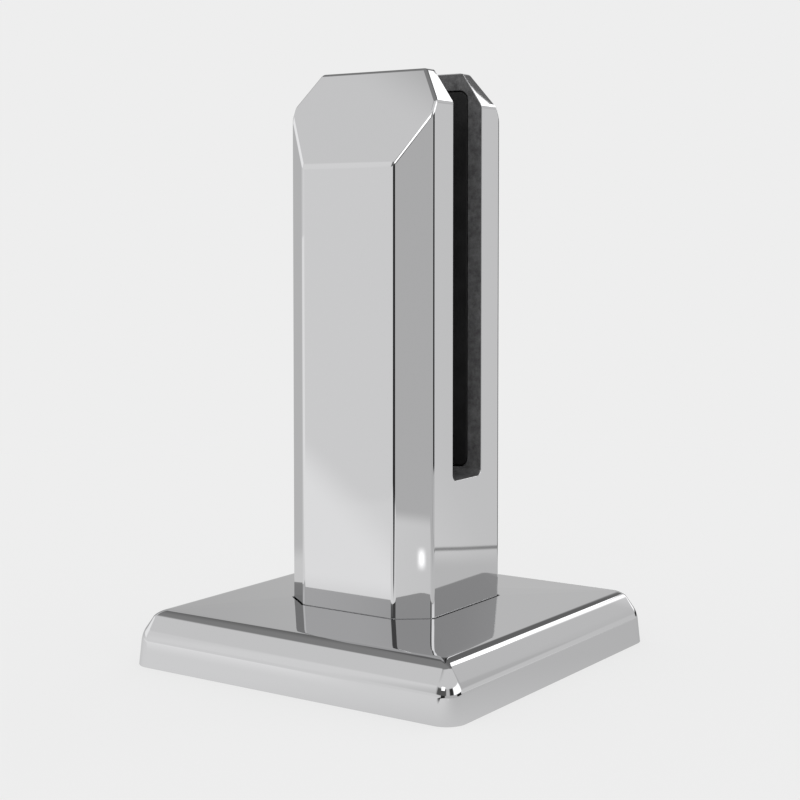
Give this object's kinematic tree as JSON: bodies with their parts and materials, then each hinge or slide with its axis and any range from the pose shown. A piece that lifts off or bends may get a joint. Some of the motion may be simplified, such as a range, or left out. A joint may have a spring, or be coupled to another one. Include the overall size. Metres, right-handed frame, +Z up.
{
  "type": "glass spigot",
  "caption": "Square stainless glass spigot: a chamfered post whose rubber-lined slot clamps a glass panel with set screws, and a pressed dress cover over its base flange.",
  "frame": {"origin": "on the floor, under the middle of the post", "axes": "+Z up along the post, +X along the glass panel, +Y across the glass towards the face with the set screws"},
  "size_m": [0.112, 0.112, 0.173],
  "materials": {
    "polished_stainless": "mirror-polished stainless steel, matte as cast inside the slot",
    "black_rubber": "matte moulded rubber",
    "plain_steel": "plain stainless steel, machined"
  },
  "bodies": {
    "spigot": {"spigot_body": "polished_stainless", "front_pad": "black_rubber", "setting_block": "black_rubber"},
    "cover": {"dress_cover": "polished_stainless"},
    "clamp": {"pressure_plate": "plain_steel", "rear_pad": "black_rubber"},
    "upper_screw": {"upper_set_screw": "plain_steel"},
    "lower_screw": {"lower_set_screw": "plain_steel"}
  },
  "joints": [
    {"name": "cover_lift", "type": "slide", "parent": "spigot", "child": "cover", "axis": [0, 0, 1], "range_m": [0, 0.175]},
    {"name": "clamp_slide", "type": "slide", "parent": "spigot", "child": "clamp", "axis": [0, -1, 0], "range_m": [0, 0.003]},
    {"name": "upper_screw_turn", "type": "hinge", "parent": "clamp", "child": "upper_screw", "pos_m": [0, 0.0174, 0.1308], "axis": [0, -1, 0], "range_deg": [0, 720.5]},
    {"name": "lower_screw_turn", "type": "hinge", "parent": "clamp", "child": "lower_screw", "pos_m": [0, 0.0174, 0.0848], "axis": [0, -1, 0], "range_deg": [0, 720.5]}
  ],
  "couplings": [
    {"joint": "upper_screw_turn", "follows": "clamp_slide", "rad_per_m": 4188.8},
    {"joint": "lower_screw_turn", "follows": "clamp_slide", "rad_per_m": 4188.8}
  ]
}
